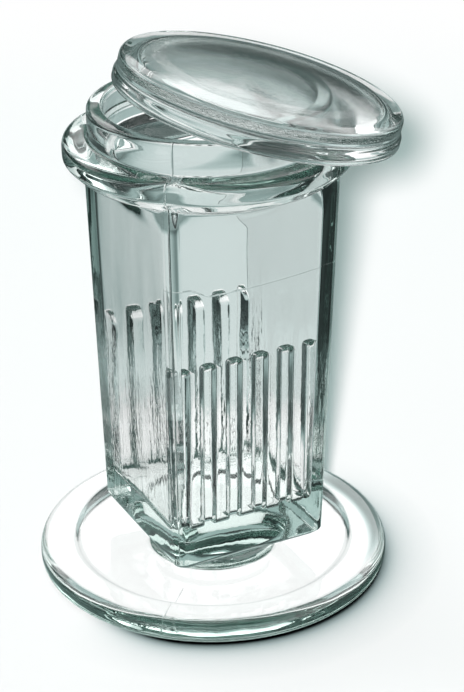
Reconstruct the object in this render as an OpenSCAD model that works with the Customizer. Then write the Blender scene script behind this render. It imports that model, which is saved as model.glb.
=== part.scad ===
// Slide staining jar: a pressed soda-lime glass jar on a round foot, with a loose glass lid.
// The jar's square body holds five standard slides, or ten back to back, in upright slots.
// Origin: centre of the foot, on the surface that the jar stands on. +Z up, the ribbed walls face -Y and +Y.

/* [Foot] */
// Diameter of the foot, mm
foot_d = 70; // [62:1:90]
// Thickness of the foot at its outer ring, mm
foot_h = 4.8; // [4.7:0.1:7]
// Width of the foot's raised outer ring, mm
foot_ring_w = 6.7; // [6:0.1:9]
// Depth of the dished top inside the ring, mm
foot_dish = 1.5; // [0.5:0.1:2]
// Radius under the foot's edge, mm
foot_edge_low = 1.8; // [0.8:0.1:1.8]
// Radius over the foot's edge, mm
foot_edge_top = 2.9; // [1:0.1:2.9]

/* [Body] */
// Height from the table to the underside of the square body, mm
body_z = 8.1; // [7.5:0.1:12]
// Distance from the outermost ribs' middle to the outside of the plain walls, at the underside, mm
side_land = 2.4; // [2:0.1:4]
// Width of the body along Y at its underside, mm
body_low_y = 34.4; // [32:0.1:38]
// How much wider the body is at the shoulder than at its underside, mm
body_flare = 3.8; // [0:0.1:5]
// Radius of the body's upright corners, mm
corner_r = 1.8; // [0.8:0.1:3]
// Bevel around the body's lower edge, mm
base_bevel = 1.2; // [0.5:0.1:2]
// Diameter of the round stem between the foot and the body, mm
stem_d = 24; // [20:0.5:34]
// Radius where the stem flows out into the foot, mm
stem_fillet = 3.6; // [1:0.1:4.5]

/* [Inside] */
// Thickness of the glass floor above the body's underside, mm
floor_t = 7.6; // [4:0.1:12]
// Wall thickness of the two plain sides, at the floor, mm
wall_x = 2.2; // [1.8:0.1:3]
// Wall thickness of the two ribbed sides, at the floor, mm
wall_y = 3.3; // [2.4:0.1:4]
// How much wider the inside is at the shoulder than at the floor, mm
inside_flare = 2.4; // [0.4:0.1:3]
// Radius of the inside's upright corners, mm
inside_corner_r = 3.6; // [3.2:0.1:7]
// Radius between the floor and the walls, mm
floor_fillet = 2; // [1:0.1:3]

/* [Slots] */
// Number of slots along each ribbed side
slots = 5; // [3:1:5]
// Distance from slot to slot, mm
slot_pitch = 5.5; // [4.6:0.1:6.2]
// Width of a rib, mm
rib_w = 2.3; // [1.6:0.1:3]
// How far a rib stands out of its wall at the floor, mm
rib_d = 2.6; // [1.5:0.1:4]
// Height of the ribs above the floor, mm
rib_h = 35.5; // [20:0.5:50]
// Radius along the two edges of a rib's nose, mm
rib_edge_r = 0.4; // [0.2:0.1:0.7]

/* [Shoulder and neck] */
// Height of the jar, mm
jar_h = 96.2; // [90:0.1:120]
// Height of the neck above the flange, mm
neck_h = 6; // [5:0.1:9]
// Outer diameter of the neck, mm
neck_d = 45.1; // [44:0.1:50]
// Wall thickness of the neck, mm
neck_wall = 3.1; // [2.5:0.1:3.5]
// Radius of the mouth's rounded lip, mm
lip_r = 0.9; // [0.5:0.1:1.2]
// How far the flange stands out around the neck, mm
flange_over = 4.75; // [3.6:0.05:8]
// Thickness of the flange at its edge, mm
flange_t = 3.6; // [2.5:0.1:5]
// Height of the sloping shoulder under the flange, mm
shoulder_h = 6.6; // [5:0.1:9]

/* [Lid] */
// Width of the lid's rim, from its inside to its outside, mm
lid_rim_w = 3.5; // [2.5:0.1:4.5]
// Play between the lid's inside and the neck, at the radius, mm
lid_play = 1.4; // [0.8:0.1:2]
// Depth of the lid's inside, mm
lid_depth = 5.6; // [4.5:0.1:6]
// Height of the lid at its shoulder, mm
lid_side_h = 6.4; // [6.2:0.1:8]
// Rise of the lid's domed top above its shoulder, mm
lid_dome = 1.6; // [0.8:0.1:3]
// How far the lid is pushed off the mouth's axis, mm
lid_slide = 8.9; // [7:0.1:10]
// Direction in which the lid is pushed, degrees from +X
lid_turn = -15.8; // [-180:0.1:180]
// Gap left between the lid and the mouth where they meet, mm
lid_clear = 0.2; // [0.1:0.05:0.3]

/* [Hidden] */

$fn = 96;
hull_fn = 32;          // facets of a full turn on the blended shapes
slice = 0.02;          // thickness of the thin plates that a blended shape is stretched over
glass = [0.80, 0.89, 0.86, 0.55];

// foot
foot_r = foot_d / 2;
ring_in_r = foot_r - foot_ring_w;
dish_z = foot_h - foot_dish;
stem_r = stem_d / 2;

// body: its width along X follows the slots, and the flare spreads evenly up to the flange
body_low_x = slots * slot_pitch + 2 * side_land;
neck_r = neck_d / 2;
flange_r = neck_r + flange_over;
flange_z = jar_h - neck_h;               // top of the flange
flange_low_z = flange_z - flange_t;      // lower edge of the flange
shoulder_z = flange_low_z - shoulder_h;  // where the shoulder leaves the flat sides
shoulder_edge = 2.3;                     // size of the steeper band under the flange's edge
flange_edge_r = flange_t / 2.4;          // radius over the flange's edge

// inside
floor_z = body_z + floor_t;
in_low_x = outer_x(floor_z) - 2 * wall_x;
in_low_y = outer_y(floor_z) - 2 * wall_y;
in_top_x = in_low_x + inside_flare;
in_top_y = in_low_y + inside_flare;
mouth_r = neck_r - neck_wall;
mouth_z = flange_low_z + flange_t / 3;   // the round bore goes down to here
fillet_step = 30;                        // degrees between the rounded floor edge's facets
bore_step = 0.05;                        // step where the blended inside meets the round bore
over = 1;                                // how far a cut runs past the face it opens

// ribs
ribs = slots + 1;
rib_gap = in_low_y - 2 * rib_d;          // between the facing ribs' noses
rib_root_y = outer_y(floor_z) / 2 - wall_y / 3;   // the ribs run this far into the wall
rib_top_z = floor_z + rib_h;

// lid
lid_in_r = neck_r + lid_play;
lid_r = lid_in_r + lid_rim_w;
lid_bead_h = 2.4;        // height of the bead around the lid's lower edge
lid_waist = 0.45;        // how far the side is drawn in above the bead
lid_shoulder_r = 2.1;    // radius of the lid's upper edge
lid_edge_r = 0.7;        // radius of the rim's two lower edges
lid_fillet = 1.4;        // radius between the lid's ceiling and its rim
lid_waist_r = lid_r - lid_waist;
lid_top_r = lid_waist_r - lid_shoulder_r;

// The pushed-off lid rests on three points. Its ceiling lies on the far side of the lip, and its
// rim crosses the lip at two points beside the mouth, which set the tilt and the height.
lip_crest_r = neck_r - lip_r;
cross_s = (pow(neck_r - lip_r / 2, 2) - pow(lid_in_r + lid_edge_r / 2, 2) + pow(lid_slide, 2))
        / (2 * lid_slide);
lid_tilt = asin(lid_depth / (lip_crest_r - cross_s));
lid_z = jar_h + lid_clear
      + (lip_crest_r - lid_slide) * tan(lid_tilt)
      - (lid_depth - lip_r) / cos(lid_tilt) - lip_r;

// width of the body's outside at height z
function flare_at(z) = body_flare * (z - body_z) / (flange_low_z - body_z);
function outer_x(z) = body_low_x + flare_at(z);
function outer_y(z) = body_low_y + flare_at(z);

// points of an arc about (x, y), from angle a to angle b
function arc(x, y, r, a, b, n = 12) =
    [for (i = [0:n]) [x + r * cos(a + (b - a) * i / n), y + r * sin(a + (b - a) * i / n)]];

// thin rounded rectangle, w by d, at height z
module plate(w, d, r, z) {
    translate([0, 0, z])
        linear_extrude(slice)
            offset(r, $fn = hull_fn)
                square([w - 2 * r, d - 2 * r], center = true);
}

module foot() {
    rotate_extrude()
        polygon(concat(
            [[0, 0]],
            arc(foot_r - foot_edge_low, foot_edge_low, foot_edge_low, -90, 0),
            arc(foot_r - foot_edge_top, foot_h - foot_edge_top, foot_edge_top, 0, 90),
            [[ring_in_r, foot_h], [ring_in_r - foot_dish, dish_z]],
            arc(stem_r + stem_fillet, dish_z + stem_fillet, stem_fillet, -90, -180),
            [[stem_r, body_z], [0, body_z + base_bevel]]));
}

module body() {
    hull() {
        plate(body_low_x - 2 * base_bevel, body_low_y - 2 * base_bevel, corner_r, body_z);
        plate(outer_x(body_z + base_bevel), outer_y(body_z + base_bevel), corner_r,
              body_z + base_bevel);
        plate(outer_x(flange_low_z), outer_y(flange_low_z), corner_r, flange_low_z);
    }
}

// round shoulder, flange and neck
module collar() {
    rotate_extrude()
        polygon(concat(
            [[0, shoulder_z], [in_top_y / 2, shoulder_z],
             [flange_r - shoulder_edge, flange_low_z - shoulder_edge], [flange_r, flange_low_z]],
            arc(flange_r - flange_edge_r, flange_z - flange_edge_r, flange_edge_r, 0, 90),
            [[neck_r, flange_z]],
            arc(neck_r - lip_r, jar_h - lip_r, lip_r, 0, 90),
            [[0, jar_h]]));
}

// the hollow, with the lip's inner edge rounded
module hollow() {
    hull() {
        for (a = [0:fillet_step:90]) {
            inset = floor_fillet * (1 - sin(a));
            plate(in_low_x - 2 * inset, in_low_y - 2 * inset, inside_corner_r - inset,
                  floor_z + floor_fillet * (1 - cos(a)));
        }
        plate(in_top_x, in_top_y, inside_corner_r, shoulder_z);
    }
    hull() {
        plate(in_top_x, in_top_y, inside_corner_r, shoulder_z);
        translate([0, 0, mouth_z - slice / 2])
            cylinder(h = slice, r = mouth_r - bore_step, $fn = hull_fn);
    }
    rotate_extrude()
        polygon(concat(
            [[0, mouth_z], [mouth_r, mouth_z]],
            arc(mouth_r + lip_r, jar_h - lip_r, lip_r, 180, 90),
            [[mouth_r + lip_r, jar_h + over], [0, jar_h + over]]));
}

// one upright rib on the +Y wall, with its nose's edges rounded
module rib() {
    deep = rib_root_y - rib_gap / 2;
    translate([0, rib_gap / 2 + deep / 2, floor_z - over])
        linear_extrude(rib_h + 2 * over)
            offset(rib_edge_r, $fn = hull_fn)
                square([rib_w - 2 * rib_edge_r, deep - 2 * rib_edge_r], center = true);
}

// the ribs of the +Y wall; each one's top is a quarter round that runs back into the wall
module ribbed_wall() {
    turn_z = rib_top_z - rib_d;
    intersection() {
        for (i = [0:ribs - 1])
            translate([(i - slots / 2) * slot_pitch, 0, 0])
                rib();
        union() {
            translate([-foot_r, 0, 0])
                cube([foot_d, foot_r, turn_z]);
            translate([-foot_r, rib_gap / 2 + rib_d, turn_z])
                rotate([0, 90, 0])
                    cylinder(h = foot_d, r = rib_d);
        }
    }
}

module jar() {
    color(glass) {
        difference() {
            union() {
                foot();
                body();
                collar();
            }
            hollow();
        }
        ribbed_wall();
        mirror([0, 1, 0])
            ribbed_wall();
    }
}

// the lid in its own frame: rim down on z = 0, axis on z
module lid_upright() {
    rotate_extrude()
        polygon(concat(
            arc(lid_in_r + lid_edge_r, lid_edge_r, lid_edge_r, 180, 270, 6),
            arc(lid_r - lid_edge_r, lid_edge_r, lid_edge_r, -90, 0, 6),
            [[lid_r, lid_bead_h - lid_waist], [lid_waist_r, lid_bead_h]],
            arc(lid_top_r, lid_side_h - lid_shoulder_r, lid_shoulder_r, 0, 80),
            [for (i = [1:12]) let (q = 1 - i / 12)
                [lid_top_r * q, lid_side_h + lid_dome * (1 - q * q)]],
            [[0, lid_depth]],
            arc(lid_in_r - lid_fillet, lid_depth - lid_fillet, lid_fillet, 90, 0, 6)));
}

module lid() {
    color(glass)
        rotate([0, 0, lid_turn])
            translate([lid_slide, 0, lid_z])
                rotate([0, lid_tilt, 0])
                    lid_upright();
}

jar();
lid();
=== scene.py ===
import math

import bpy
import numpy as np
from mathutils import Matrix, Vector


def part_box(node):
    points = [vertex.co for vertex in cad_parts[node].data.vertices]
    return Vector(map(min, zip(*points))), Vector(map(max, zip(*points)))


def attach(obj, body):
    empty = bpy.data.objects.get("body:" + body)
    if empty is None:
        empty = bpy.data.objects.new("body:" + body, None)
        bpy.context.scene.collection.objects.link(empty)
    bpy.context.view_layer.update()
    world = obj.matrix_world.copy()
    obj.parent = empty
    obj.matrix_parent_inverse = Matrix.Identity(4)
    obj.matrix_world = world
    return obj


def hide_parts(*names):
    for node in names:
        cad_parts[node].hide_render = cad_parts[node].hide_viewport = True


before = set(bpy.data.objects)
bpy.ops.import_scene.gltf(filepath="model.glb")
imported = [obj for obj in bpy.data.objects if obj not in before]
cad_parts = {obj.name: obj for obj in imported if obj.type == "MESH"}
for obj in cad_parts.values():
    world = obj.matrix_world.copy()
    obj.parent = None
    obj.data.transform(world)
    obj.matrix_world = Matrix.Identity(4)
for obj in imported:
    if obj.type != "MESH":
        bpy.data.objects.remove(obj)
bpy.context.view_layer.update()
jar_lo, jar_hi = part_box("jar")
MM = 0.001

# ---- the jar's sizes, in mm -----------------------------------------------------------------
foot_r = (jar_hi.x - jar_lo.x) / 2 / MM
jar_h = jar_hi.z / MM
foot_h, foot_ring_w, foot_dish = 4.8, 6.7, 1.5
foot_edge_low, foot_edge_top, foot_ring_edge, foot_dish_edge = 1.8, 2.9, 0.9, 1.0
stem_r, stem_fillet, stem_top_fillet, stem_gap = 12.0, 3.6, 0.35, 0.02
body_z, base_bevel, body_flare = 8.1, 1.2, 3.8
body_low_x, body_low_y, corner_r = 32.3, 34.4, 1.8
floor_z, floor_fillet = 15.7, 2.0
wall_x, wall_y, inside_flare, inside_corner_r = 2.2, 3.3, 2.4, 0.7
neck_h, neck_r, neck_wall, neck_fillet, lip_r = 6.0, 22.55, 3.1, 0.6, 0.9
flange_r, flange_t, flange_edge_r = 27.3, 3.6, 1.5
shoulder_h, shoulder_edge = 6.6, 2.3
flange_z = jar_h - neck_h
flange_low_z = flange_z - flange_t
shoulder_z = flange_low_z - shoulder_h
mouth_r = neck_r - neck_wall
mouth_z = flange_low_z + flange_t / 3
bore_lead, bore_blend = 0.6, 0.22          # the inside starts to turn round this far under the shoulder

# the ribs: rib_side is a rib's flank, as steps of (sideways from half its width, height)
rib_count, slot_pitch = 6, 5.5
rib_w, rib_d, rib_h = 2.3, 2.6, 35.5
rib_edge_r, rib_nose_in, rib_root_h, slot_middle = 0.4, 0.15, 0.8, 2.0
rib_side = np.array([(-0.12, 1.6), (-0.06, 0.9), (0.0, 0.42), (0.10, 0.17), (0.28, 0.04), (0.5, 0.0)])
rib_top_flat, rib_top_side, rib_top_drop, rib_top_blend = 0.4, 0.85, 0.9, 0.3
rib_x = (np.arange(rib_count) - (rib_count - 1) / 2) * slot_pitch
rib_top_z = floor_z + rib_h

# ---- the lid's sizes, in mm and degrees -----------------------------------------------------
lid_rim_w, lid_play, lid_depth = 3.5, 1.4, 5.6
lid_side_h, lid_dome, lid_slide, lid_turn, lid_clear = 6.4, 1.6, 8.9, -15.8, 0.2
lid_bead_h, lid_waist, lid_shoulder_r, lid_edge_r, lid_fillet = 2.4, 0.45, 2.1, 0.7, 1.4
lid_ceiling_edge, lid_vault = 3.1, 3.5
lid_in_r = neck_r + lid_play
lid_out_r = lid_in_r + lid_rim_w
lid_columns = 256


def flare_at(z):
    """How much wider the body has become at height z: nothing at its foot, body_flare at the flange."""
    return body_flare * (z - body_z) / (flange_low_z - body_z)


inside_low_x = (body_low_x + flare_at(floor_z)) / 2 - wall_x
inside_low_y = (body_low_y + flare_at(floor_z)) / 2 - wall_y


# ---- the columns of the jar's surface -------------------------------------------------------
# Every column runs from the middle of the underside, over the outside and the lip, and down the
# inside to the middle of the floor. The columns crowd at the ribs and at the body's corners.
def rib_half():
    """Half of a rib's outline, as sideways offset and height above the wall, from its crest to its root: a
    flat nose, an arc of rib_edge_r over the edge, and then the steps of rib_side."""
    flat_half = rib_w / 2 - rib_nose_in - rib_edge_r
    turn = np.radians([0, 25, 50, 70, 84])
    out = np.concatenate([[0, flat_half * 0.55], flat_half + rib_edge_r * np.sin(turn),
                          rib_w / 2 + rib_side[:, 0]])
    height = np.concatenate([[rib_d, rib_d], rib_d - rib_edge_r * (1 - np.cos(turn)), rib_side[:, 1]])
    return out, height


def wall_columns():
    """x, rib height and distance from the rib's middle, for the columns of one ribbed wall, from +X to -X.
    They run from one end rib's crest to the other's, with two columns on each slot's bare wall."""
    out, height = rib_half()
    half = np.stack([out, height, out], 1)
    mirrored = half[:0:-1] * (-1, 1, 1)
    parts = [half + (rib_x[0], 0, 0)]
    for before, middle in zip(rib_x[:-1], rib_x[1:]):
        bare = np.linspace(before + out[-1], middle - out[-1], 4)[1:-1]
        parts.append(np.stack([bare, np.zeros(2), np.full(2, slot_middle)], 1))
        parts.append(mirrored + (middle, 0, 0))
        parts.append(half + (middle, 0, 0))
    columns = np.concatenate(parts)[:1 - len(half)]
    return columns[::-1].T


WALL_X, WALL_D, WALL_O = wall_columns()
N_TAIL, N_SIDE = 9, 23
N_HALF = N_SIDE + 2 * N_TAIL + len(WALL_X)
N_COL = 2 * N_HALF
ONE_WALL = N_SIDE + N_TAIL + np.arange(len(WALL_X))
BOTH_WALLS = np.concatenate([ONE_WALL, ONE_WALL + N_HALF])
COL_D = np.zeros(N_COL)
COL_D[BOTH_WALLS] = np.tile(WALL_D, 2)
COL_O = np.full(N_COL, slot_middle)
COL_O[BOTH_WALLS] = np.tile(WALL_O, 2)


def section(half_x, half_y, round_r, end_x=None):
    """A rounded rectangle's points at the columns. Half of it is a plain side of evenly spaced points, a
    tail round the corner, a ribbed side whose columns are stretched to reach end_x, and another tail. The
    other half is the same turned about the axis. A tail's points share out what is left of the arc."""
    straight_x = half_x - round_r
    end_x = straight_x if end_x is None else end_x
    x = WALL_X / rib_x[-1] * end_x
    past = np.clip(np.abs(x) - straight_x, 0, round_r)
    y = half_y - round_r + np.sqrt(round_r * round_r - past * past)
    arc = math.acos(min(1, max(0, (end_x - straight_x) / round_r)))
    turn = arc * (np.arange(1, N_TAIL + 1) / (N_TAIL + 1))
    tail_x = straight_x + round_r * np.cos(turn)
    tail_y = half_y - round_r + round_r * np.sin(turn)
    half = np.concatenate([
        np.stack([np.full(N_SIDE, half_x), np.linspace(-1, 1, N_SIDE) * (half_y - round_r)], 1),
        np.stack([tail_x, tail_y], 1),
        np.stack([x, y], 1),
        np.stack([-tail_x[::-1], tail_y[::-1]], 1)])
    return np.concatenate([half, -half])


def body_outline(z, inset=0):
    """The body's outside at height z, drawn in by inset."""
    return section((body_low_x + flare_at(z)) / 2 - inset, (body_low_y + flare_at(z)) / 2 - inset, corner_r)


columns_z = 50          # the columns' directions are those of the body's outline at this height
PHI = np.arctan2(*body_outline(columns_z).T[::-1])
ROUND = np.stack([np.cos(PHI), np.sin(PHI)], 1)


def level(xy, z):
    """Points xy at height z, which may differ from point to point."""
    return np.concatenate([xy, np.broadcast_to(np.reshape(z, (-1, 1)), (len(xy), 1))], 1)


def ring(r, z):
    """A circle of radius r at height z, at the columns' directions."""
    return level(ROUND * np.reshape(r, (-1, 1)), z)


def rounding(before, corner, after, size):
    """Where a rounding of tangent length size leaves the two straights at a corner, and the sine of half the
    corner's angle. The tangent length is never more than 0.49 of either straight."""
    back = before - corner
    on = after - corner
    back_len = np.linalg.norm(back, axis=1, keepdims=True) + 1e-9
    on_len = np.linalg.norm(on, axis=1, keepdims=True) + 1e-9
    cut = np.minimum(np.minimum(size, back_len * 0.49), on_len * 0.49)
    cosine = np.clip(np.sum(back * on, 1, keepdims=True) / back_len / on_len, -1, 1)
    return corner + back / back_len * cut, corner + on / on_len * cut, np.sqrt((1 - cosine) / 2)


def carry(keys):
    """Rows of points carried along a chain of corners, each rounded to a true arc.

    keys: (points, tangent length of the rounding, rows over the rounding, straight rows after it).
    A rounding is a conic through the two tangent points with the corner as its pole, weighted by the sine
    of half the corner's angle, which makes it circular."""
    cuts = []
    for i, (corner, size, n_arc, _) in enumerate(keys):
        if n_arc:
            cuts.append(rounding(keys[i - 1][0], corner, keys[i + 1][0], size))
        else:
            cuts.append((corner, corner, 0))
    rows = []
    for i, (corner, _, n_arc, n_line) in enumerate(keys):
        enter, leave, weight = cuts[i]
        if not n_arc:
            rows.append(corner)
        for s in np.linspace(0, 1, n_arc):
            k_in, k_mid, k_out = (1 - s) ** 2, 2 * s * (1 - s) * weight, s * s
            rows.append((k_in * enter + k_mid * corner + k_out * leave) / (k_in + k_mid + k_out))
        for s in np.arange(1, n_line + 1) / (n_line + 1):
            rows.append(leave + (cuts[i + 1][0] - leave) * s)
    return rows


def smooth_min(a, b, k):
    """The lesser of a and b, with the crossing rounded over k."""
    h = np.clip(0.5 + 0.5 * (b - a) / k, 0, 1)
    return b + (a - b) * h - k * h * (1 - h)


def ramp(t, soft):
    """0 below 0 and 1 above 1, straight between, with both bends rounded over soft."""
    return smooth_min(np.maximum(-smooth_min(-t, 0 * t, soft), 0), 1 + 0 * t, soft)


def shoulder_start(cone_r):
    """Where each column leaves the body's flat sides for the shoulder. The shoulder is a cone that widens
    from the inside's half width to cone_r, so a column further from the axis leaves the body higher up."""
    middle_z = shoulder_z + shoulder_h * 0.5
    outline = body_outline(middle_z)
    reach = np.hypot(*outline.T)
    low_r = inside_low_y + inside_flare / 2
    leave_z = shoulder_z + (reach - low_r) / (cone_r - low_r) * (shoulder_h - shoulder_edge)
    leave_z = np.minimum(leave_z, flange_low_z - shoulder_edge + np.maximum(reach - cone_r, 0))
    leave_z = np.clip(leave_z, shoulder_z, flange_low_z - 0.4)
    widen = (flare_at(leave_z) - flare_at(middle_z))[:, None] / 2
    return outline + np.sign(outline) * widen, leave_z


def outside_rows():
    """From the middle of the underside over the foot, up the body and the neck, to the lip's inner edge."""
    cone_r = flange_r - shoulder_edge
    top, leave_z = shoulder_start(cone_r)
    kink_r = np.maximum(cone_r, np.hypot(*top.T) + 0.15)
    dish_r = foot_r - foot_ring_w - foot_dish
    dish_z = foot_h - foot_dish
    keys = [
        (ring(0.6, 0.0), 0, 0, 5),
        (ring(foot_r, 0.0), foot_edge_low, 8, 0),
        (ring(foot_r, foot_h), foot_edge_top, 11, 2),
        (ring(foot_r - foot_ring_w, foot_h), foot_ring_edge, 6, 1),
        (ring(dish_r, dish_z), foot_dish_edge, 6, 4),
        (ring(stem_r, dish_z), stem_fillet, 9, 1),
        (ring(stem_r, body_z - stem_gap), stem_top_fillet, 5, 1),
        (level(body_outline(body_z, base_bevel), body_z + stem_gap), 0.3, 5, 1),
        (level(body_outline(body_z + base_bevel), body_z + base_bevel), 0.45, 5, 34),
        (level(top, leave_z), 0.7, 5, 3),
        (ring(kink_r, flange_low_z - (flange_r - kink_r)), 0.8, 4, 1),
        (ring(flange_r, flange_low_z), 0.5, 5, 2),
        (ring(flange_r, flange_z), flange_edge_r, 8, 3),
        (ring(neck_r, flange_z), neck_fillet, 6, 3),
        (ring(neck_r, jar_h), lip_r, 7, 1),
        (ring(mouth_r, jar_h), lip_r, 7, 0),
        (ring(mouth_r, mouth_z), 0, 0, 0),
    ]
    return carry(keys)[:-1]


def inside_at(z):
    """The inside's outline at height z: a rounded rectangle that widens upward and turns into the round
    bore near the mouth. The ribs' noses stay upright as the walls lean out. Each rib's top is a quarter
    round back into its wall, a little lower at the rib's sides than in its middle."""
    grow = inside_flare / 2 * min(1, max(0, (z - floor_z) / (shoulder_z - floor_z)))
    half_y = inside_low_y + grow
    xy = section(inside_low_x + grow, half_y, inside_corner_r, rib_x[-1])
    crest = COL_D + grow * np.clip(COL_D / rib_root_h, 0, 1)
    off_middle = np.clip((COL_O - rib_top_flat) / rib_top_side, 0, 1)
    top = rib_top_z - rib_top_drop * (1 - np.sqrt(1 - off_middle ** 2))
    up_top = np.clip((z - top + rib_d) / rib_d, 0, 1)
    cap = (rib_d + grow) * np.sqrt(1 - up_top * up_top)
    stand = smooth_min(crest, cap, rib_top_blend) * (up_top < 1)
    moved = np.maximum(0, np.abs(xy[:, 1]) - half_y + stand) * (COL_D > 0)
    xy[:, 1] -= np.sign(xy[:, 1]) * moved
    risen = (z - shoulder_z + bore_lead) / (mouth_z - shoulder_z + bore_lead)
    roundness = float(ramp(np.array(risen), bore_blend))
    return xy * (1 - roundness) + ROUND * mouth_r * roundness


def floor_outline(foot):
    """The outline where the floor's fillet has run out. The slots' columns keep the x that they have in
    foot, and so run straight in past the ribs' noses. Toward the corners they give way to a plain outline."""
    half_x, half_y, round_r, end_x = 12.2, 9.0, 3.0, 11.6
    keep_to_x, keep_blend = 12.4, 2.2
    inner = section(half_x, half_y, round_r, end_x)
    x = foot[BOTH_WALLS, 0]
    keep = np.clip((keep_to_x - np.abs(x)) / keep_blend, 0, 1)
    inner[BOTH_WALLS, 0] = inner[BOTH_WALLS, 0] * (1 - keep) + x * keep
    return inner


def inside_rows():
    """From the bore down the inside to the floor's middle: the bore, the turn from round to square, the
    plain walls, the ribs' tops with rows that crowd upward, the ribs, a quarter-round fillet, the floor."""
    quarter = np.radians(np.linspace(0, 90, 22))
    heights = np.concatenate([
        np.linspace(jar_h - 2.2, mouth_z + 1.2, 4),
        np.linspace(mouth_z + 0.6, shoulder_z - 2.6, 22),
        np.linspace(shoulder_z - 5, rib_top_z + 1.2, 12),
        rib_top_z + 0.1 - 3.8 * (1 - np.cos(quarter)),
        np.linspace(rib_top_z - 5.5, floor_z + floor_fillet + 1.5, 14)])
    rows = [level(inside_at(z), z) for z in heights]
    foot = inside_at(floor_z + floor_fillet)
    inner = floor_outline(foot)
    way = inner - foot
    way = way / np.linalg.norm(way, axis=1, keepdims=True)
    for a in np.radians(np.linspace(0, 90, 7)):
        xy = foot + way * floor_fillet * (1 - math.cos(a)) * 0.98
        rows.append(level(xy, floor_z + floor_fillet * (1 - math.sin(a))))
    for share in (0.35, 0.7, 1.0):
        rows.append(level(xy + (inner - xy) * share, floor_z))
    for share in (0.78, 0.56, 0.34, 0.14):
        rows.append(level(inner * share, floor_z))
    return rows


def mesh_from_rows(name, rows, first, last):
    """A closed mesh: rows of points are loops, joined by quads, with a fan at each end's middle point."""
    grid = np.stack(rows)
    n_row, n_col = grid.shape[:2]
    points = np.concatenate([grid.reshape(-1, 3), [first, last]]) * MM
    column = np.arange(n_col)
    beside = (column + 1) % n_col
    row = np.arange(n_row - 1)[:, None] * n_col
    next_row = row + n_col
    last_row = (n_row - 1) * n_col
    quads = np.stack([row + column, row + beside, next_row + beside, next_row + column], -1)
    first_fan = np.stack([np.full(n_col, n_row * n_col), beside, column], 1)
    last_fan = np.stack([np.full(n_col, n_row * n_col + 1), last_row + column, last_row + beside], 1)
    corners = np.concatenate([quads.ravel(), first_fan.ravel(), last_fan.ravel()]).astype(np.int32)
    sizes = np.concatenate([np.full((n_row - 1) * n_col, 4), np.full(2 * n_col, 3)])
    starts = np.concatenate([[0], np.cumsum(sizes)[:-1]]).astype(np.int32)
    mesh = bpy.data.meshes.new(name)
    mesh.vertices.add(len(points))
    mesh.vertices.foreach_set("co", points.astype(np.float32).ravel())
    mesh.loops.add(len(corners))
    mesh.loops.foreach_set("vertex_index", corners)
    mesh.polygons.add(len(sizes))
    mesh.polygons.foreach_set("loop_start", starts)
    mesh.polygons.foreach_set("use_smooth", np.ones(len(sizes), bool))
    mesh.update(calc_edges=True)
    mesh.validate()
    piece = bpy.data.objects.new(name, mesh)
    bpy.context.scene.collection.objects.link(piece)
    return piece


# ---- the lid --------------------------------------------------------------------------------
def lid_pose(points):
    """Carries points from the lid's own frame to where it lies: tilted, pushed off and turned. Its ceiling
    rests on the lip's far side, and its rim crosses the lip at two points. How far along the slide they lie
    comes from the two circles' radii. The tilt's sine is lid_depth over the run from them to the far side."""
    crest = neck_r - lip_r
    rim_r = lid_in_r + lid_edge_r / 2
    cross = ((neck_r - lip_r / 2) ** 2 - rim_r ** 2 + lid_slide ** 2) / (2 * lid_slide)
    tilt = math.asin(lid_depth / (crest - cross))
    lean, upright = math.sin(tilt), math.cos(tilt)
    z = jar_h + lid_clear + (crest - lid_slide) * math.tan(tilt) - (lid_depth - lip_r) / upright - lip_r
    out = points[..., 0] * upright + points[..., 2] * lean + lid_slide
    height = -points[..., 0] * lean + points[..., 2] * upright + z
    turn = math.radians(lid_turn)
    x = out * math.cos(turn) - points[..., 1] * math.sin(turn)
    y = out * math.sin(turn) + points[..., 1] * math.cos(turn)
    return np.stack([x, y, height], -1)


def lid_rows():
    """The lid's section turned about its axis, from the middle of the top to the middle of the ceiling. The
    top is a dome and the ceiling a vault, and both fall with the square of the distance from the axis.
    Between them come a rounded shoulder, a waisted side, a bead, the rim, and the hollow's side."""
    angle = np.arange(lid_columns) / lid_columns * 2 * np.pi
    spin = np.stack([np.cos(angle), np.sin(angle)], 1)
    waist_r = lid_out_r - lid_waist
    dome_r = waist_r - lid_shoulder_r
    dome = [level(spin * dome_r * q, lid_side_h + lid_dome * (1 - q * q))
            for q in np.linspace(0.04, 0.94, 14)]
    vault = [level(spin * lid_in_r * q, lid_ceiling_edge + lid_vault * (1 - q * q))
             for q in np.linspace(0.88, 0.04, 16)]
    keys = [
        (dome[-1], 0, 0, 0),
        (level(spin * (dome_r + 0.55), lid_side_h - 0.02), 0.9, 6, 0),
        (level(spin * waist_r, lid_side_h - 0.75), 1.1, 7, 1),
        (level(spin * waist_r, lid_bead_h + 0.3), 0.5, 4, 0),
        (level(spin * lid_out_r, lid_bead_h - 0.35), 0.35, 5, 1),
        (level(spin * lid_out_r, 0), lid_edge_r, 7, 1),
        (level(spin * lid_in_r, 0), lid_edge_r, 7, 2),
        (level(spin * lid_in_r, lid_ceiling_edge), lid_fillet, 9, 1),
        (vault[0], 0, 0, 0),
    ]
    return [lid_pose(row) for row in dome[:-1] + carry(keys) + vault[1:]]


jar = mesh_from_rows("jar_glass", outside_rows() + inside_rows(), (0, 0, 0), (0, 0, floor_z))
top_mid = lid_pose(np.array([0, 0, lid_side_h + lid_dome]))
ceiling_mid = lid_pose(np.array([0, 0, lid_ceiling_edge + lid_vault]))
lid = mesh_from_rows("lid_glass", [row[::-1] for row in lid_rows()], top_mid, ceiling_mid)

for piece, node, slot in ((jar, "jar", "jar_glass"), (lid, "lid", "lid_glass")):
    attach(piece, "root")
    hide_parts(node)


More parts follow.
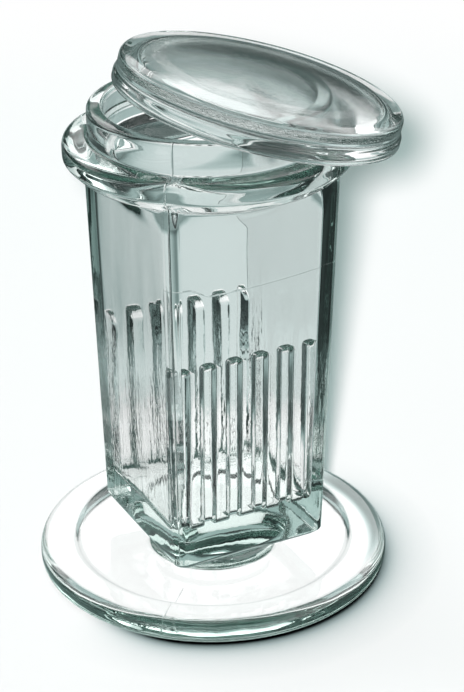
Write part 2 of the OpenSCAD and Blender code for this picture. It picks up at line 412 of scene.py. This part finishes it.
# ---- finishes -------------------------------------------------------------------------------
class Nodes:
    """A material's, lamp's or world's node tree, with short calls for the sums that the finishes need."""

    def __init__(self, owner):
        owner.use_nodes = True
        self.tree = owner.node_tree
        self.tree.nodes.clear()

    def put(self, socket, value):
        """Gives a socket a number or colour of its own, or links another node's output to it."""
        if isinstance(value, bpy.types.NodeSocket):
            self.tree.links.new(value, socket)
        else:
            socket.default_value = value

    def add(self, kind, **inputs):
        """A new node, with the named inputs filled."""
        node = self.tree.nodes.new(kind)
        for name, value in inputs.items():
            self.put(node.inputs[name.replace("_", " ")], value)
        return node

    def fill(self, node, *values):
        """Fills a node's first inputs in order, and gives its first output."""
        for socket, value in zip(node.inputs, values):
            self.put(socket, value)
        return node.outputs[0]

    def math(self, kind, *values):
        """One step of arithmetic."""
        node = self.add("ShaderNodeMath")
        node.operation = kind
        return self.fill(node, *values)

    def times(self, product, *others):
        """The product of all the values."""
        for other in others:
            product = self.math("MULTIPLY", product, other)
        return product

    def plus(self, total, *others):
        """The sum of all the values."""
        for other in others:
            total = self.math("ADD", total, other)
        return total

    def rest(self, share):
        """What share leaves of 1."""
        return self.math("SUBTRACT", 1.0, share)

    def between(self, share, whole, none):
        """whole where share is 1, none where it is 0, and both blended between."""
        return self.plus(self.times(share, whole), self.times(self.rest(share), none))

    def soft(self, value, low, high, start=0.0, end=1.0):
        """A smooth step of value, from start at low to end at high."""
        node = self.add("ShaderNodeMapRange")
        node.interpolation_type = "SMOOTHSTEP"
        return self.fill(node, value, low, high, start, end)

    def curve(self, value, span, stops):
        """A tone read off straight lines through stops of (value, tone), for values from 0 to span. It
        stays the same before the first stop and after the last."""
        node = self.add("ShaderNodeValToRGB", Fac=self.math("DIVIDE", value, span))
        marks = node.color_ramp.elements
        while len(marks) < len(stops):
            marks.new(0.5)
        for mark, (at, tone) in zip(marks, stops):
            mark.position = at / span
            mark.color = (tone, tone, tone, 1)
        return node.outputs["Color"]

    def mix(self, share, none, whole):
        """The shader none where share is 0, and whole where it is 1."""
        return self.fill(self.add("ShaderNodeMixShader"), share, none, whole)

    def vector(self, kind, first, second, output):
        """One step of vector arithmetic."""
        node = self.add("ShaderNodeVectorMath", Vector=first)
        node.operation = kind
        node.inputs[1].default_value = second
        return node.outputs[output]

    def along(self, where, axis):
        """How far where goes along axis."""
        return self.vector("DOT_PRODUCT", where, axis, "Value")

    def distance(self, where, middle):
        """How far where is from middle."""
        return self.vector("DISTANCE", where, middle, "Value")

    def noise(self, where, scale, stretch, detail):
        """Noise between 0 and 1; scale is in features per metre, drawn out along each axis by stretch."""
        squeezed = self.vector("DIVIDE", where, stretch, "Vector")
        return self.add("ShaderNodeTexNoise", Vector=squeezed, Scale=scale, Detail=detail).outputs["Fac"]


# the skin's patterns: sizes in features per metre, rises and widths in mm
wave_scale, wave_rise = 110.0, 0.12
chill_scale, chill_near, chill_far = 700.0, 0.05, 0.26
brush_scale, brush_rise = 5000.0, 0.040
seam_half_w, seam_near, seam_far, seam_from_r = 0.22, 0.09, 0.02, 21.0
pause_half_w, pause_rise = 0.16, 0.03
refraction, glass_tint, glass_depth, glass_shadow = 1.52, (0.62, 0.84, 0.77, 1), 17.0, (0.46, 0.56, 0.55, 1)


def clear_glass(n, height):
    """Clear glass with a faint green in its thickness and its skin raised by height, in mm. A lamp's light
    goes straight through it and leaves a pale shadow."""
    skin = n.add("ShaderNodeBump", Strength=1.0, Distance=MM, Height=height)
    clear = n.add("ShaderNodeBsdfPrincipled", Base_Color=(1, 1, 1, 1), Roughness=0.0, IOR=refraction,
                  Transmission_Weight=1.0, Normal=skin.outputs[0])
    lamp_through = n.add("ShaderNodeBsdfTransparent", Color=glass_shadow)
    thickness = n.add("ShaderNodeVolumeAbsorption", Color=glass_tint, Density=glass_depth)
    is_shadow = n.add("ShaderNodeLightPath").outputs["Is Shadow Ray"]
    n.add("ShaderNodeOutputMaterial", Surface=n.mix(is_shadow, clear.outputs[0], lamp_through.outputs[0]),
          Volume=thickness.outputs[0])


def chill(n, where, part):
    """A fine chill drawn out upward on the lower half of the walls, stronger on the far ribbed wall."""
    low = n.times(n.soft(part["Z"], 0.060, 0.035), n.soft(part["Z"], 0.010, 0.014))
    rise = n.soft(part["Y"], 0.006, 0.010, chill_near, chill_far)
    return n.times(n.noise(where, chill_scale, (1, 1, 5), 3.0), rise, low)


def mould_seam(n, where, part):
    """The mould's seams: ridges where the upright plane through two opposite corners meets the outside.
    They are left off the inside, which is nearer the axis, and off the underside."""
    corners = Vector((body_low_x, body_low_y, 0)).normalized()
    reach = n.along(where, corners)
    off = n.math("ABSOLUTE", n.along(where, Vector((-corners.y, corners.x, 0))))
    outside = n.math("GREATER_THAN", n.math("ABSOLUTE", reach), seam_from_r * MM)
    above = n.math("GREATER_THAN", part["Z"], MM)
    rise = n.soft(reach, -0.001, 0.001, seam_near, seam_far)
    return n.times(n.soft(off, 0.0, seam_half_w * MM, 1.0, 0.0), outside, above, rise)


def press_pause(n, part):
    """A faint line across the outside of the near ribbed wall, above the ribs, where the press paused. It
    is a shallow parabola, lowest at lowest_x, and near the wall's left end it goes from low_z to high_z."""
    lowest_x, low_z, high_z, bend, wall_y_from = -0.006, 0.0663, 0.0682, 3.0, -0.0165
    across = n.plus(part["X"], -lowest_x)
    height = n.plus(n.soft(part["X"], -0.009, -0.014, low_z, high_z), n.times(across, across, bend))
    off = n.math("ABSOLUTE", n.math("SUBTRACT", part["Z"], height))
    on_wall = n.math("LESS_THAN", part["Y"], wall_y_from)
    return n.times(n.soft(off, 0.0, pause_half_w * MM, 1.0, 0.0), on_wall, pause_rise)


def jar_glass():
    """The jar's glass: slight waves all over, the chill, the mould's seams and the line of the press."""
    material = bpy.data.materials.new("clear_pressed_glass")
    n = Nodes(material)
    where = n.add("ShaderNodeTexCoord").outputs["Object"]
    part = n.add("ShaderNodeSeparateXYZ", Vector=where).outputs
    waves = n.times(n.noise(where, wave_scale, (1, 1, 3), 1.0), wave_rise)
    marks = n.plus(mould_seam(n, where, part), press_pause(n, part))
    clear_glass(n, n.plus(n.plus(waves, chill(n, where, part)), marks))
    return material


def lid_glass():
    """The lid's glass: slight waves all over, and a ceiling left brushed by the plunger. The ceiling is
    what lies near the middle of the rim's plane and between two heights above it, in metres."""
    brushed_low, brushed_high, brushed_r = 0.0036, 0.0071, 0.0225
    material = bpy.data.materials.new("clear_pressed_glass_lid")
    n = Nodes(material)
    where = n.add("ShaderNodeTexCoord").outputs["Object"]
    middle = Vector(lid_pose(np.array([0, 0, 0.0]))) * MM
    axis = (Vector(lid_pose(np.array([0, 0, 1.0]))) * MM - middle).normalized()
    height = n.math("SUBTRACT", n.along(where, axis), middle.dot(axis))
    near = n.math("LESS_THAN", n.distance(where, middle), brushed_r)
    under, over = n.math("LESS_THAN", height, brushed_high), n.math("GREATER_THAN", height, brushed_low)
    ceiling = n.times(under, near, over)
    brushed = n.times(n.noise(where, brush_scale, (6, 1, 3), 2.0), brush_rise)
    waves = n.times(n.noise(where, wave_scale, (1, 1, 1), 1.0), wave_rise)
    clear_glass(n, n.plus(waves, n.times(ceiling, brushed)))
    return material


jar.data.materials.append(jar_glass())
lid.data.materials.append(lid_glass())

# ---- camera ---------------------------------------------------------------------------------
turn, lift, roll = math.radians(27.27), math.radians(26.30), -0.006
away, aim_right, aim_height, lens = 0.3974, 0.004096, 0.04603, 106.1
right = Vector((math.cos(turn), -math.sin(turn), 0))
back = Vector((-math.sin(turn) * math.cos(lift), -math.cos(turn) * math.cos(lift), math.sin(lift)))
up = back.cross(right)
aim = right * aim_right + Vector((0, 0, aim_height))
rolled_right = right * math.cos(roll) + up * math.sin(roll)
rolled_up = up * math.cos(roll) - right * math.sin(roll)
facing = Matrix((rolled_right, rolled_up, back)).transposed().to_4x4()
cam_data = bpy.data.cameras.new("camera")
cam_data.lens = lens
cam_data.clip_start = 0.01
cam = bpy.data.objects.new("camera", cam_data)
bpy.context.scene.collection.objects.link(cam)
cam.matrix_world = Matrix.Translation(aim + back * away) @ facing
bpy.context.scene.camera = cam

# ---- table, world, lamps --------------------------------------------------------------------
# Clear glass shows mostly what lies around it. The sheet and the room, as the glass sees them, have painted
# tones that depend on place, on direction and on how many surfaces the light has met: painted light and shade
# in the glass, with the sheet glowing as no lamp would. Places and directions are the jar's own: ahead is
# level, away from the front, and right is level, across it.
ahead = Vector((-back.x, -back.y, 0)).normalized()

# stops of (surfaces met, tone): painted light and shade, how bright the sheet and the room look in the
# glass after the light has met this many surfaces
most_met = 16.0
close_fade = ((1, 0.4), (2, 1.0), (3, 0.45), (4, 1.0), (5, 0.02), (6, 1.0), (7, 0.25), (8, 0.25), (9, 0.04))
far_fade = ((1, 0.4), (2, 1.4), (3, 0.45), (4, 0.9), (5, 0.02), (6, 0.04), (7, 0.35), (8, 0.35), (9, 0.03))
mid_ring_painted_light = ((4, 0.0), (5, 0.75), (6, 0.0))
room_fade = ((2, 1.2), (3, 0.4), (4, 0.22), (5, 0.3), (6, 0.9), (7, 0.7), (8, 0.7), (9, 0.05),
             (12, 0.05), (13, 0.5))
lid_side_painted_light = ((4, 0.0), (5, 1.0), (6, 0.0))
through_painted_light = ((1, 0.0), (2, 0.8), (4, 0.8), (5, 0.0))

# stops of (distance from the jar's axis in metres, tone): painted light and shade on the sheet as the glass
# sees it, brighter close round the foot, darker in a ring further out, and darkest in a ring far behind
sheet_span = 0.8
front_sheet = ((0.045, 1.08), (0.08, 0.65), (0.2, 0.65), (0.3, 0.95))
back_sheet = ((0.036, 1.08), (0.045, 1.2), (0.06, 1.2), (0.075, 0.95), (0.12, 0.89), (0.2, 0.89),
              (0.24, 0.35), (0.36, 0.35), (0.44, 0.85))

# stops of (how steeply the light rises, tone), and how bright each side of the room is
window = ((0.14, 0.0), (0.18, 0.05), (0.33, 0.12), (0.38, 1.0), (0.60, 1.0), (0.68, 0.2))
side_wall = ((0.0, 0.3), (0.2, 1.0))
overhead = ((0.82, 0.0), (0.95, 0.9))
window_light, side_light, room_light, open_light = 2.2, 1.4, 0.05, 0.15


def table_fade(n, met, from_jar):
    """How bright the sheet is painted for light that has met this many surfaces, close to the jar and further
    off: painted light and shade in the glass. Between the two, a ring of painted light brightens the sheet
    for light that has met about five surfaces."""
    close = n.curve(met, most_met, close_fade)
    far = n.curve(met, most_met, far_fade)
    fade = n.between(n.soft(from_jar, 0.075, 0.060), close, far)
    # painted light: a ring of the sheet brightened for light that has met about five surfaces
    middle = n.times(n.soft(from_jar, 0.060, 0.070), n.soft(from_jar, 0.115, 0.095))
    return n.plus(fade, n.times(n.curve(met, most_met, mid_ring_painted_light), middle))


def seen_by_glass(n, path):
    """1 for light that comes by way of glass, by reflection or through it."""
    return n.math("MAXIMUM", path["Is Glossy Ray"], path["Is Transmission Ray"])


def cool(n, tone):
    """A grey of this tone, slightly green where it is dark and white where it is full."""
    red = n.times(tone, n.math("MINIMUM", 1.0, n.math("MULTIPLY_ADD", n.times(tone, tone), 0.28, 0.72)))
    blue = n.times(tone, n.math("MINIMUM", 1.0, n.math("MULTIPLY_ADD", tone, 0.04, 0.96)))
    return n.add("ShaderNodeCombineColor", Red=red, Green=tone, Blue=blue).outputs[0]


def lit_sheet(n, where, from_jar, behind):
    """The sheet as it is seen directly: paper under the lamps near the jar, and plain white further off,
    later behind the jar, where its shadow falls. The paper's colour is painted paler toward the back, where
    the front lamp strikes it at a lower slant, and on the right, where it evens out the high lamp's broad
    shade.
    Close beside the foot, on the shaded side, a painted contact shadow from ambient occlusion darkens it,
    most of all in its red."""
    paper_tone, paler_per_metre, paler_right = 0.657, 0.985, 1.08
    contact_size, contact_shade, contact_red = 0.012, 1.55, 0.3
    white_from, white_full, white_later_behind = 0.10, 0.26, 0.14
    # painted light: the paper's colour is raised where the lamps' light falls off
    even = n.math("MULTIPLY_ADD", n.along(where, ahead), paler_per_metre, paper_tone)
    even = n.times(even, n.soft(n.along(where, right * 0.85 - ahead * 0.5), 0.025, 0.06, 1.0, paler_right))
    # painted contact shadow: ambient occlusion darkens the paper's colour on the shaded side, most in its red
    open_sky = n.add("ShaderNodeAmbientOcclusion", Distance=contact_size).outputs["AO"]
    shade_side = n.soft(n.math("DIVIDE", n.along(where, right * 0.8 - ahead * 0.6), from_jar), -0.2, 0.5)
    contact = n.times(n.rest(open_sky), n.times(shade_side, contact_shade))
    even = n.times(even, n.rest(contact))
    red = n.times(even, n.math("MULTIPLY_ADD", contact, -contact_red, 1.0))
    tint = n.add("ShaderNodeCombineColor", Red=red, Green=even, Blue=even)
    paper = n.add("ShaderNodeBsdfDiffuse", Color=tint.outputs[0])
    white = n.add("ShaderNodeEmission", Color=(1, 1, 1, 1))
    lit_reach = n.math("MULTIPLY_ADD", behind, -white_later_behind, from_jar)
    return n.mix(n.soft(lit_reach, white_from, white_full), paper.outputs[0], white.outputs[0])


def sheet_tone(n, from_jar, backward, sideways, behind):
    """The sheet's painted tone as the glass sees it, by distance from the jar and by direction, with four
    patches. A patch is part of a ring, soft at its edges, and brings the tone to a share of itself: three are
    painted shade, far and near on the left and a painted shadow under the foot's rim on the right, and one is
    painted light, far on the right."""
    back_tone = n.curve(from_jar, sheet_span, back_sheet)
    tone = n.between(behind, back_tone, n.curve(from_jar, sheet_span, front_sheet))
    left_far_painted_shade = (n.soft(sideways, 0.05, -0.65), n.soft(from_jar, 0.08, 0.13), n.soft(from_jar, 0.28, 0.22),
                n.soft(backward, -0.35, 0.1))
    left_near_painted_shade = (n.soft(sideways, -0.5, -0.9), n.soft(from_jar, 0.034, 0.05), n.soft(from_jar, 0.10, 0.07))
    right_far_painted_light = (n.soft(sideways, 0.4, 0.8), n.soft(from_jar, 0.09, 0.12))
    rim_painted_shadow = (n.soft(sideways, 0.45, 0.85), n.soft(from_jar, 0.0305, 0.0335),
                n.soft(from_jar, 0.041, 0.037))
    # each patch paints shade (a share below 1) or light (a share above 1) onto the sheet
    for patch, share in ((left_far_painted_shade, 0.12), (left_near_painted_shade, 0.15), (right_far_painted_light, 1.2), (rim_painted_shadow, 0.2)):
        tone = n.times(tone, n.soft(n.times(*patch), 0.0, 1.0, 1.0, share))
    return tone


def make_table():
    """A wide white sheet just under the foot. It is a stage and no part of the jar."""
    half, sunk = 4.0, 0.0001
    mesh = bpy.data.meshes.new("table")
    corners = [(-half, -half, 0), (half, -half, 0), (half, half, 0), (-half, half, 0)]
    mesh.from_pydata(corners, [], [(0, 1, 2, 3)])
    mesh.transform(Matrix.Translation((0, 0, -sunk)))
    table = bpy.data.objects.new("table", mesh)
    bpy.context.scene.collection.objects.link(table)
    material = bpy.data.materials.new("white_sheet")
    n = Nodes(material)
    path = n.add("ShaderNodeLightPath").outputs
    where = n.add("ShaderNodeTexCoord").outputs["Object"]
    from_jar = n.distance(where, (0, 0, 0))
    backward = n.math("DIVIDE", n.along(where, ahead), from_jar)
    sideways = n.math("DIVIDE", n.along(where, right), from_jar)
    behind = n.soft(backward, 0.1, 0.6)
    tone = sheet_tone(n, from_jar, backward, sideways, behind)
    # painted light: for light that comes by way of glass the sheet glows with its painted tone instead of
    # being lit
    shown = n.times(table_fade(n, path["Ray Depth"], from_jar), tone)
    painted_glow_in_glass = n.add("ShaderNodeEmission", Color=cool(n, shown))
    sheet = lit_sheet(n, where, from_jar, behind)
    n.add("ShaderNodeOutputMaterial", Surface=n.mix(seen_by_glass(n, path), sheet, painted_glow_in_glass.outputs[0]))
    mesh.materials.append(material)


def room_tone(n, met, way):
    """The room as the glass sees it: a window behind, a wall on the right and a ceiling, their brightness
    painted by how many surfaces the light has met. Low down, light that leaves by the lid's far side meets
    painted light, a pale band behind for light that has met five surfaces, and light that comes straight
    through the jar meets painted light on the room's other low sides."""
    rise = n.add("ShaderNodeSeparateXYZ", Vector=way).outputs["Z"]
    behind = n.soft(n.along(way, ahead), 0.0, 0.5)
    side = n.soft(n.along(way, right), 0.3, 0.75)
    room = n.plus(n.times(behind, n.curve(rise, 1.0, window), window_light),
                  n.times(side, n.curve(rise, 1.0, side_wall), side_light),
                  room_light, n.curve(rise, 1.0, overhead))
    # painted light and shade: the room's brightness scaled by the surfaces the light has met
    room = n.times(room, n.curve(met, most_met, room_fade))
    low = n.soft(rise, 0.36, 0.30)
    room = n.plus(room, n.times(n.curve(met, most_met, lid_side_painted_light), low, behind))
    return n.plus(room, n.times(n.curve(met, most_met, through_painted_light), low, n.rest(behind)))


def make_world():
    """White where it is seen directly, the room where glass sees it, and a weak even light on the rest."""
    world = bpy.data.worlds.new("studio")
    bpy.context.scene.world = world
    n = Nodes(world)
    path = n.add("ShaderNodeLightPath").outputs
    way = n.add("ShaderNodeTexCoord").outputs["Generated"]
    direct = n.plus(open_light, n.times(path["Is Camera Ray"], 1.0 - open_light))
    tone = n.between(seen_by_glass(n, path), room_tone(n, path["Ray Depth"], way), direct)
    shade = n.add("ShaderNodeBackground", Color=cool(n, tone))
    n.add("ShaderNodeOutputWorld", Surface=shade.outputs[0])


def make_lamp(name, place, size, strength):
    """A soft round lamp at place, shining at the jar's middle as brightly near as far."""
    lamp = bpy.data.lights.new(name, "AREA")
    lamp.shape = "DISK"
    lamp.size = size
    lamp.energy = 1.0
    n = Nodes(lamp)
    steady = n.add("ShaderNodeLightFalloff", Strength=strength).outputs["Constant"]
    glow = n.add("ShaderNodeEmission", Color=(1, 1, 1, 1), Strength=steady)
    n.add("ShaderNodeOutputLight", Surface=glow.outputs[0])
    holder = bpy.data.objects.new(name, lamp)
    bpy.context.scene.collection.objects.link(holder)
    facing_aim = (place - aim).to_track_quat("Z", "Y").to_matrix().to_4x4()
    holder.matrix_world = Matrix.Translation(place) @ facing_aim
    holder.visible_glossy = False
    holder.visible_transmission = False


make_table()
make_world()
high_way = (ahead * 0.35 - right * 0.35 + Vector((0, 0, 0.9))).normalized()
make_lamp("front_lamp", aim + back * away - right * 0.012 + up * 0.006, 0.022, 22.0)
make_lamp("high_lamp", aim + high_way * 0.8, 0.45, 2.0)
scene = bpy.context.scene
scene.view_settings.view_transform = "Standard"
scene.cycles.max_bounces = 32
scene.cycles.transmission_bounces = 32
scene.cycles.glossy_bounces = 32
